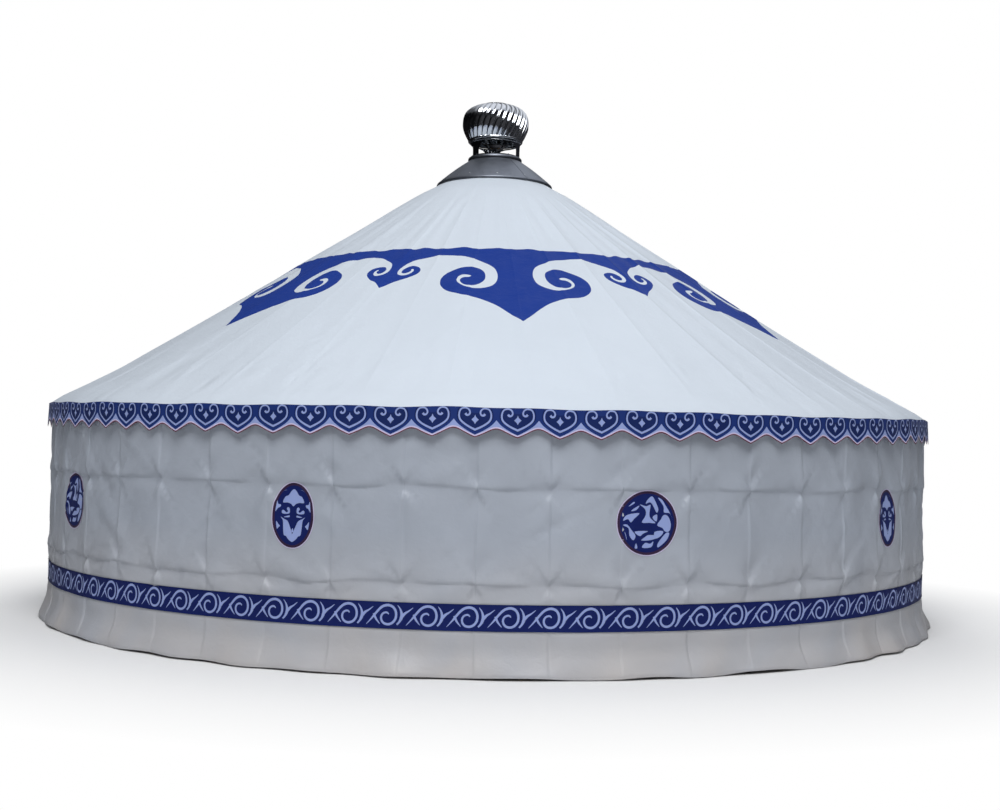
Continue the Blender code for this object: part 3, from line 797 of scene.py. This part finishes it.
def make_valance():
    half = math.pi * EAVE_R / SCALLOPS
    edge = scallop_edge()
    top = VALANCE_TOP
    sides = [VALANCE_NOTCH + (top - VALANCE_NOTCH) * k / 4 for k in range(1, 5)]
    outline = list(map(tuple, edge)) + [(half, z) for z in sides]
    outline += [(x, top) for x in np.linspace(half, -half, 11)[1:]]
    outline += [(-half, z) for z in sides[::-1][1:]]
    pale = both_sides(np.concatenate([
        smooth_line([(half + 0.004, 1.712), (0.124, 1.688), (0.100, 1.667),
                     (0.05, 1.637), (0, 1.613)][::-1], steps=3),
        [(half + 0.004, VALANCE_TIP - 0.02), (0, VALANCE_TIP - 0.02)],
    ]))
    rim = np.concatenate([edge + (0, 0.0065), [(half, 1.55), (-half, 1.55)]])
    hem = np.concatenate([edge + (0, 0.0155), [(half, 1.56), (-half, 1.56)]])
    field = both_sides(smooth_line([(0, 1.746), (0.028, 1.752), (0.042, 1.7815), (0.080, 1.7825),
                                    (0.110, 1.7755), (0.121, 1.745), (0.120, 1.715),
                                    (0.105, 1.690), (0.060, 1.660), (0, 1.632)], steps=3))
    scroll = brush([(-0.065, 1.743), (-0.056, 1.733), (-0.042, 1.735), (-0.034, 1.748),
                    (-0.040, 1.765), (-0.055, 1.7755), (-0.073, 1.7765), (-0.092, 1.770),
                    (-0.104, 1.750), (-0.106, 1.725), (-0.098, 1.703), (-0.075, 1.682),
                    (-0.04, 1.662), (0.002, 1.6435)],
                   [0.016, 0.012, 0.011, 0.010, 0.010, 0.010, 0.011, 0.012, 0.012, 0.013])
    gem = both_sides([(0, 1.737), (0.006, 1.722), (0.024, 1.706), (0.008, 1.692), (0, 1.679)])
    shapes = [(pale, 2), (hem, 3), (rim, 4), (field, 1), (scroll, 2), (flipped(scroll), 2),
              (gem, 2)]
    grid = grid_points(np.linspace(-half, half, 11)[1:-1],
                       np.linspace(VALANCE_TIP, top, 8)[1:-1])
    sheet = inlay(outline, shapes, grid)
    trim = wrap("eave_valance_cloth", sheet, valance_surface,
                [blue_print, night_print, pale_print, blush_print, red_piping], EAVE_R,
                cells=SCALLOPS, first=FIRST_SCALLOP, pitch=360 / SCALLOPS, thick=0.0015)
    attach(trim, TENT)
    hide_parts("eave_valance")


def make_girth_band():
    half = math.pi * WALL_R / SCROLLS
    low, high = BAND_LOW - 0.011, BAND_HIGH + 0.001
    xs, ys = np.linspace(-half, half, 9), np.linspace(low, high, 7)
    outline = [(x, low) for x in xs[:-1]] + [(half, y) for y in ys[:-1]]
    outline += [(x, high) for x in xs[:0:-1]] + [(-half, y) for y in ys[:0:-1]]
    # The strips along both edges, in night_print, are painted shadow: the thin dark line where the
    # band's edges meet the wall.
    wide = half + 0.002
    shapes = [([(-wide, z0), (wide, z0), (wide, z1), (-wide, z1)], 2)
              for z0, z1 in ((low - 0.01, low + 0.004), (high - 0.004, high + 0.01))]
    scroll = brush([(0.006, 0.408), (-0.004, 0.419), (-0.020, 0.419), (-0.037, 0.409),
                    (-0.046, 0.388), (-0.041, 0.364), (-0.024, 0.347), (0.003, 0.342),
                    (0.031, 0.353), (0.051, 0.379), (0.056, 0.410), (0.049, 0.439),
                    (0.031, 0.460), (0.003, 0.469), (-0.028, 0.463), (-0.053, 0.446),
                    (-0.081, 0.415), (-0.109, 0.380), (-0.147, 0.338)],
                   [0.007, 0.013, 0.013, 0.014, 0.015, 0.016, 0.016, 0.016, 0.016, 0.017,
                    0.017, 0.016, 0.014, 0.003])
    foot = brush([(-0.096, 0.412), (-0.082, 0.378), (-0.054, 0.342)], [0.016, 0.014, 0.003],
                 steps=4)
    leaf = brush([(0.066, 0.470), (0.083, 0.446), (0.093, 0.412), (0.090, 0.385),
                  (0.078, 0.360), (0.061, 0.341)], [0.003, 0.010, 0.018, 0.021, 0.014, 0.011])
    branch = brush([(0.096, 0.396), (0.116, 0.418), (0.140, 0.433), (0.170, 0.457)],
                   [0.020, 0.016, 0.010, 0.003])
    shapes += [(s, 1) for s in (scroll, foot, leaf, branch)]
    sheet = inlay(outline, shapes, grid_points(xs[1:-1], ys[1:-1]), repeat=2 * half)
    band = wrap("girth_band_cloth", sheet, outside_wall(0.0065),
                [navy_print, pale_print, night_print], WALL_R, cells=SCROLLS,
                first=FIRST_SCROLL, pitch=360 / SCROLLS, thick=0.0020)
    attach(band, TENT)
    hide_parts("girth_band")


# Shapes from the middle of a print, in millimetres.
HORSE_CLOUDS = [
    [(101, 25), (115, 50), (138, 55), (160, 35), (174, -5), (170, -45), (152, -60), (130, -55),
     (112, -33), (73, -15)],
    [(-14, 130), (-3, 155), (31, 180), (54, 152), (80, 95), (68, 70), (40, 118), (17, 140)],
    [(77, 170), (110, 155), (138, 112), (160, 78), (188, 20), (163, 66), (122, 72), (118, 115)],
    [(-45, 5), (-14, 55), (-20, 95), (-59, 125), (-10, 113), (22, 122), (14, 65), (22, 32),
     (60, 0), (10, 2)],
    [(38, 35), (52, 52), (73, 55), (68, 10)],
    [(-178, 15), (-160, 47), (-120, 62), (-64, 66), (-98, 30), (-122, 4), (-142, 26)],
    [(-122, 80), (-98, 101), (-62, 117), (-86, 88)],
    [(-140, 110), (-108, 141), (-98, 134)],
    [(-94, -57), (3, -54), (-34, -72), (-56, -88)],
    [(-44, -117), (-17, -94), (12, -80), (88, -88), (36, -113)],
    [(-38, -165), (-15, -133), (22, -139), (46, -124), (30, -163)],
    [(52, -60), (116, -54), (106, -82), (62, -105)],
    [(136, -70), (164, -70), (143, -117), (84, -165), (82, -133)],
    [(-178, -15), (-148, -10), (-112, -52), (-87, -86), (-104, -116), (-132, -82), (-138, -35)],
    [(-168, -58), (-157, -78), (-150, -115)],
    [(-82, -135), (-72, -168), (-92, -168)],
]
OVAL_LEAVES = [
    [(0, 177), (20, 163), (40, 135), (64, 124), (82, 86), (46, 85), (18, 76), (0, 60)],
    [(0, -86), (7, -104), (0, -116)],
]
OVAL_SIDES = [
    [(28, 46), (42, 54), (50, 40), (40, 28), (52, 18), (74, 34), (86, 28), (80, 10), (30, 12)],
    [(28, -2), (50, -6), (70, -14), (30, -14)],
    [(94, -12), (68, -26), (40, -40), (20, -80), (0, -130), (-4, -180), (26, -164), (44, -142),
     (62, -132), (70, -80), (76, -34)],
    [(96, 70), (116, 74), (124, 96), (130, 60), (134, 22), (116, 46), (100, 54)],
    [(94, -74), (108, -60), (124, -42), (116, -94), (102, -82)],
    [(52, 172), (74, 163), (90, 152), (70, 166)],
]


def make_medallions(name, wide, tall, shapes, first, count):
    """A set of round or oval prints, evenly apart."""
    centre = (0.0, MEDALLION_Z)
    outline, rim, field = (disc(wide - d, tall - d, centre) for d in (0, 0.006, 0.024))
    layers = [(rim, 1), (field, 2)] + [(blob(np.array(s) / 1000) + centre, 3) for s in shapes]
    spots = np.arange(-0.20, 0.201, 0.04)
    sheet = inlay(outline, layers, grid_points(spots, MEDALLION_Z + spots))
    prints = wrap(name, sheet, outside_wall(0.0028),
                  [blush_print, plum_print, navy_print, pale_print], WALL_R, cells=count,
                  first=first, pitch=PRINT_ANGLE, thick=0.0016)
    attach(prints, TENT)


# --- Repeats made with Geometry Nodes ---------------------------------------
def repeat_tree(name, material):
    """Copies the piece's own mesh round the upright axis."""
    tree = bpy.data.node_groups.new(name, "GeometryNodeTree")

    def socket(label, kind, way="INPUT"):
        kind = "NodeSocket" + kind
        return tree.interface.new_socket(label, in_out=way, socket_type=kind).identifier

    socket("Geometry", "Geometry")
    count, start = socket("Count", "Int"), socket("First Angle", "Float")
    socket("Geometry", "Geometry", "OUTPUT")

    def add(kind, **inputs):
        return add_node(tree, "GeometryNode" + kind, **inputs).outputs[0]

    given = tree.nodes.new("NodeGroupInput").outputs
    step = maths(tree, "DIVIDE", 2 * math.pi, given["Count"])
    angle = maths(tree, "MULTIPLY_ADD", add("InputIndex"), step, given["First Angle"])
    turn = add_node(tree, "ShaderNodeCombineXYZ", Z=angle).outputs["Vector"]
    points = add("Points", Count=given["Count"])
    copies = add("InstanceOnPoints", Points=points, Instance=given["Geometry"], Rotation=turn)
    real = add("RealizeInstances", Geometry=copies)
    finish = add("SetMaterial", Geometry=real, Material=material)
    add_node(tree, "NodeGroupOutput", Geometry=finish)
    return tree, count, start


def repeated(name, mesh, material, body, count, first_angle):
    """The mesh copied round the axis, as one plain piece on a body."""
    seed = add_object(name + "_seed", mesh)
    tree, count_id, start_id = repeat_tree(name + "_tree", material)
    modifier = seed.modifiers.new("round", "NODES")
    modifier.node_group = tree
    modifier[count_id] = count
    modifier[start_id] = math.radians(first_angle)
    seed.update_tag()
    graph = bpy.context.evaluated_depsgraph_get()
    plain = bpy.data.meshes.new_from_object(seed.evaluated_get(graph), depsgraph=graph)
    seed.modifiers.remove(modifier)
    bpy.data.objects.remove(seed)
    plain.name = name
    plain.polygons.foreach_set("use_smooth", [True] * len(plain.polygons))
    obj = add_object(name, plain)
    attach(obj, body)
    return obj


def grid_mesh(name, points, closed_u=False, closed_v=False, thick=0.0):
    """Quads over a (u, v, 3) array of points, optionally thickened inwards."""
    count_u, count_v = points.shape[:2]
    work = bmesh.new()
    verts = [[work.verts.new(p) for p in row] for row in points.tolist()]
    for i in range(count_u if closed_u else count_u - 1):
        here, there = verts[i], verts[(i + 1) % count_u]
        for j in range(count_v if closed_v else count_v - 1):
            k = (j + 1) % count_v
            work.faces.new((here[j], there[j], there[k], here[k]))
    bmesh.ops.remove_doubles(work, verts=work.verts, dist=1e-5)
    if thick:
        bmesh.ops.recalc_face_normals(work, faces=work.faces)
        bmesh.ops.solidify(work, geom=work.faces[:], thickness=thick)
    bmesh.ops.recalc_face_normals(work, faces=work.faces)
    mesh = bpy.data.meshes.new(name)
    work.to_mesh(mesh)
    work.free()
    return mesh


def turned(name, profile, material, body, slot, steps=96, replaces=()):
    """A closed ring of metal turned from a closed (radius, height) profile."""
    radius, height = np.array(profile, float).T
    turn = np.linspace(0, 2 * math.pi, steps, endpoint=False)[:, None]
    points = np.stack([radius * np.cos(turn), radius * np.sin(turn), height + 0 * turn], 2)
    mesh = grid_mesh(name, points, closed_u=True, closed_v=True)
    mesh.materials.append(material)
    mesh.polygons.foreach_set("use_smooth", [True] * len(mesh.polygons))
    obj = add_object(name, mesh)
    mesh.set_sharp_from_angle(angle=math.radians(40))
    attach(obj, body)
    if replaces:
        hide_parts(*replaces)


def bead(radius, height, size):
    """A round bead's profile."""
    turn = np.linspace(0, 2 * math.pi, 10, endpoint=False)
    return [(radius + size * math.cos(t), height + size * math.sin(t)) for t in turn]


def rivet(name, radius, height, tilt, size):
    """A domed rivet head on a surface that leans back by tilt degrees."""
    work = bmesh.new()
    bmesh.ops.create_uvsphere(work, u_segments=10, v_segments=6, radius=size)
    flat = Matrix.Diagonal((1, 1, 0.45, 1))
    lean = Matrix.Rotation(math.radians(90 - tilt), 4, "Y")
    place = Matrix.Translation((radius, 0, height))
    bmesh.ops.transform(work, matrix=place @ lean @ flat, verts=work.verts)
    mesh = bpy.data.meshes.new(name)
    work.to_mesh(mesh)
    work.free()
    return mesh


# --- Ventilator -------------------------------------------------------------
def make_flashing():
    """The sheet cone over the top of the roof cloth, with a rolled hem."""
    low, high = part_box("vent_flashing")
    edge, top_r = high.x, 0.249
    drop = edge - top_r
    outer = []
    for k in range(13):
        s = k / 12
        r = edge - 0.006 - s * (drop - 0.006)
        outer.append((r, low.z + 0.022 + (high.z - low.z - 0.024) * s
                      + 0.010 * math.sin(math.pi * s)))
    inner = [(r, z - 0.0035) for r, z in outer[::-1]]
    hem = [(edge - 0.010, low.z + 0.004), (edge - 0.004, low.z + 0.001),
           (edge - 0.0005, low.z + 0.007), (edge - 0.002, low.z + 0.016)]
    turned("flashing_cone", inner + hem + outer, dull_steel, TENT, "flashing_metal",
           replaces=["vent_flashing"])
    head = rivet("rivet", radius=edge - 0.045, height=low.z + 0.057, tilt=52, size=0.006)
    repeated("flashing_rivets", head, bright_steel, TENT,
             count=24, first_angle=3)
    strip = [(-0.012, 0.0003), (-0.010, 0.0028), (0.010, 0.0028), (0.012, 0.0003)]
    seam = [[(r, y, z + lift) for y, lift in strip] for r, z in outer]
    for end, (r, z) in ((0, outer[0]), (len(seam) + 1, outer[-1])):
        seam.insert(end, [(r, 0.0, z + 0.001)] * len(strip))
    mesh = grid_mesh("seam", np.array(seam), closed_v=True)
    repeated("flashing_seams", mesh, dull_steel, TENT,
             count=4, first_angle=33)


def rotor_radius(height):
    """The turban-like outline of the turning head."""
    low_r, full, mid, foot, crown, cap = 0.262, 0.318, 4.665, 4.515, 4.862, 0.12
    if height < mid:
        return low_r + (full - low_r) * math.cos((mid - height) / (mid - foot) * math.pi / 2)
    share = (height - mid) / (crown - mid)
    return max(cap, full * max(0.0, 1 - min(share, 1) ** 2.8) ** (1 / 2.8))


def make_vanes():
    """Curved louvres, each tucked behind the next, made by repeating one."""
    count, lean = 32, math.radians(24)
    foot, crown = 4.506, 4.8615
    pitch = 2 * math.pi / count
    section = [(-0.04, -0.010), (0.0, -0.001), (0.10, 0.0075), (0.28, 0.0085), (0.50, 0.004),
               (0.76, -0.005), (1.10, -0.014)]
    rows = []
    for k in range(25):
        s = k / 24
        z = foot + (crown - foot) * math.sin(s * math.pi / 2) ** 0.9
        base = rotor_radius(z)
        fade = min(1, (1 - s) * 5 + 0.35)
        row = []
        for across, lift in section:
            angle = lean * (z - foot) / (crown - foot) + across * pitch
            r = base - 0.004 + lift * fade
            row.append((r * math.cos(angle), r * math.sin(angle), z))
        rows.append(row)
    mesh = grid_mesh("vane", np.array(rows), thick=0.0012)
    vanes = repeated("rotor_louvres", mesh, bright_steel, HEAD,
                     count=count, first_angle=2)
    vanes.data.set_sharp_from_angle(angle=math.radians(60))
    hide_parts("rotor_vanes")


def make_head():
    """The cap over the louvres and the ring under them."""
    low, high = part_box("rotor_cap")
    cap_r = high.x
    rise = high.z - low.z
    outer = [(cap_r - 0.0005, low.z + 0.001)]
    for k in range(9):
        t = k / 8 * math.pi / 2
        outer.append((0.0005 + (cap_r - 0.0005) * math.cos(t) ** 0.8,
                      low.z + 0.002 + (rise - 0.0022) * math.sin(t)))
    inner = [(max(r - 0.001, 0.0005), z - 0.0015) for r, z in outer[::-1]]
    turned("head_cap", outer + inner, bright_steel, HEAD, "bright_steel", steps=64,
           replaces=["rotor_cap"])
    low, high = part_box("rotor_ring")
    middle = (low.z + high.z) / 2
    turned("head_ring", [(0.246, low.z), (0.262, low.z), (high.x - 0.0015, low.z + 0.003),
                         (high.x, middle), (high.x - 0.002, high.z - 0.003), (0.258, high.z),
                         (0.250, high.z), (0.2455, middle)],
           bright_steel, HEAD, "bright_steel", replaces=["rotor_ring"])


def make_neck_trim():
    """The rolled beads, foot screws and flange of the fixed neck."""
    low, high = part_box("vent_base_flange")
    turned("neck_flange", [(-low.x - 0.033, low.z + 0.001), (high.x - 0.003, low.z),
                           (high.x, low.z + 0.006), (high.x - 0.001, high.z - 0.006),
                           (high.x - 0.006, high.z), (0.230, high.z)],
           dull_steel, TENT, "bright_steel", replaces=["vent_base_flange"])
    neck_low, neck_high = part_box("vent_neck")
    turned("neck_bead", bead(neck_high.x + 0.0012, neck_high.z - 0.006, 0.0035),
           bright_steel, TENT, "bright_steel")
    head = rivet("screw", radius=neck_high.x + 0.0005, height=neck_low.z + 0.012, tilt=0,
                 size=0.005)
    repeated("neck_screws", head, bright_steel, TENT, count=9, first_angle=-98)


# --- Carried-over frame parts -----------------------------------------------
def finish_frame():
    """Gives every CAD part that stays its own material."""
    finishes = {"lattice_wall": pole_wood, "roof_poles": pole_wood, "crown_ring": pole_wood,
                "vent": bright_steel, "rotor": bright_steel}
    for name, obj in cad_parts.items():
        for start, material in finishes.items():
            if name.startswith(start):
                obj.data.materials.clear()
                obj.data.materials.append(material)


# --- Room, light and camera -------------------------------------------------
def mixed(tree, factor, first, second):
    """Mixes two shaders."""
    mix = tree.nodes.new("ShaderNodeMixShader")
    for socket, value in zip(mix.inputs, (factor, first.outputs[0], second.outputs[0])):
        feed(tree, socket, value)
    return mix


def make_floor():
    """A pale floor that fades into the white surroundings further out."""
    material, tree, shader = new_material("pale_floor", (0.90, 0.90, 0.90), 0.85)
    spot = coordinates(tree)["Object"]
    add_bump(tree, shader, (noise(tree, spot, 0.5, 3.0), 0.02, 0.02))
    away = tree.nodes.new("ShaderNodeVectorMath")
    away.operation = "LENGTH"
    feed(tree, away.inputs[0], spot)
    fade = span(tree, away.outputs["Value"], 0.0, 1.0, start=4.0, end=6.2)
    seen = tree.nodes.new("ShaderNodeLightPath").outputs["Is Camera Ray"]
    glow = add_node(tree, "ShaderNodeEmission", Strength=1.0)
    mix = mixed(tree, maths(tree, "MULTIPLY", fade, seen), shader, glow)
    feed(tree, tree.nodes["Material Output"].inputs["Surface"], mix.outputs[0])
    sides, reach = 96, 40
    mesh = bpy.data.meshes.new("floor")
    turn = np.linspace(0, 2 * math.pi, sides, endpoint=False)
    rim = [(reach * math.cos(t), reach * math.sin(t), -0.0005) for t in turn]
    mesh.from_pydata(rim, [], [list(range(sides))])
    mesh.materials.append(material)
    floor = add_object("floor", mesh)
    floor.visible_glossy = False


def area_light(name, place, target, size, power):
    data = bpy.data.lights.new(name, "AREA")
    data.shape = "DISK"
    data.size = size
    data.energy = power
    light = add_object(name, data)
    light.location = place
    aim = Vector(target) - Vector(place)
    light.rotation_euler = aim.to_track_quat("-Z", "Y").to_euler()
    return light


def make_light():
    """A soft pale studio, seen as white, with a darker one for reflections."""
    world = bpy.data.worlds.new("studio")
    bpy.context.scene.world = world
    world.use_nodes = True
    tree = world.node_tree
    tree.nodes.clear()
    ahead = coordinates(tree)["Generated"]
    parts = add_node(tree, "ShaderNodeSeparateXYZ", Vector=ahead).outputs
    sky = ramp(tree, parts["Z"], (0.0, (0.25, 0.25, 0.25)), (0.02, (0.12, 0.12, 0.13)),
               (0.3, (0.64, 0.67, 0.72)), (1.0, (1.7, 1.75, 1.82)))
    bright = ramp(tree, parts["Z"], (0.0, (0.05, 0.05, 0.055)), (0.10, (0.010, 0.010, 0.013)),
                  (0.44, (0.02, 0.022, 0.028)), (0.66, (0.90, 0.93, 1.0)))
    across = span(tree, parts["X"], 0.12, 1.0, start=-0.55, end=0.20)
    soft = add_node(tree, "ShaderNodeBackground", Color=sky, Strength=0.29)
    gleam = add_node(tree, "ShaderNodeBackground", Color=bright, Strength=across)
    white = add_node(tree, "ShaderNodeBackground", Color=(1, 1, 1, 1), Strength=1.0)
    ray = tree.nodes.new("ShaderNodeLightPath").outputs
    lit = mixed(tree, ray["Is Glossy Ray"], soft, gleam)
    lit = mixed(tree, ray["Is Camera Ray"], lit, white)
    add_node(tree, "ShaderNodeOutputWorld", Surface=lit.outputs[0])
    area_light("key", (-0.3, -12.5, 15.0), (0, 0, 1.8), 9.0, 1810)
    fill = area_light("back_fill", (3.0, 13.0, 9.0), (0, 0, 1.5), 8.0, 800)
    fill.visible_glossy = False


def make_camera():
    """Eye height, a little uphill and not quite level."""
    data = bpy.data.cameras.new("camera")
    data.lens = 46.8
    data.sensor_width = 36.0
    camera = add_object("camera", data)
    yaw, pitch, roll = (math.radians(a) for a in (0.448, 1.79, 1.183))
    ahead = Vector((math.sin(yaw) * math.cos(pitch), math.cos(yaw) * math.cos(pitch),
                    math.sin(pitch)))
    level = ahead.cross(Vector((0, 0, 1))).normalized()
    up = level.cross(ahead)
    right = math.cos(roll) * level + math.sin(roll) * up
    upright = -math.sin(roll) * level + math.cos(roll) * up
    turn = Matrix((right, upright, -ahead)).transposed().to_4x4()
    camera.matrix_world = Matrix.Translation((0.0, -12.627, 1.541)) @ turn
    bpy.context.scene.camera = camera


# --- Everything put together ------------------------------------------------
finish_frame()
make_wall_cover()
make_roof_cover()
make_valance()
make_girth_band()
ovals = [both_sides(s) for s in OVAL_LEAVES]
ovals += [s for side in OVAL_SIDES for s in (side, flipped(side))]
behind = 2 * PRINT_ANGLE
make_medallions("horse_roundels", 0.222, 0.222, HORSE_CLOUDS, FIRST_HORSE - behind, PRINTS)
make_medallions("oval_prints", 0.162, 0.226, ovals, FIRST_OVAL - behind, PRINTS)
make_flashing()
make_neck_trim()
make_vanes()
make_head()
make_floor()
make_light()
make_camera()
scene = bpy.context.scene
scene.view_settings.view_transform = "Standard"
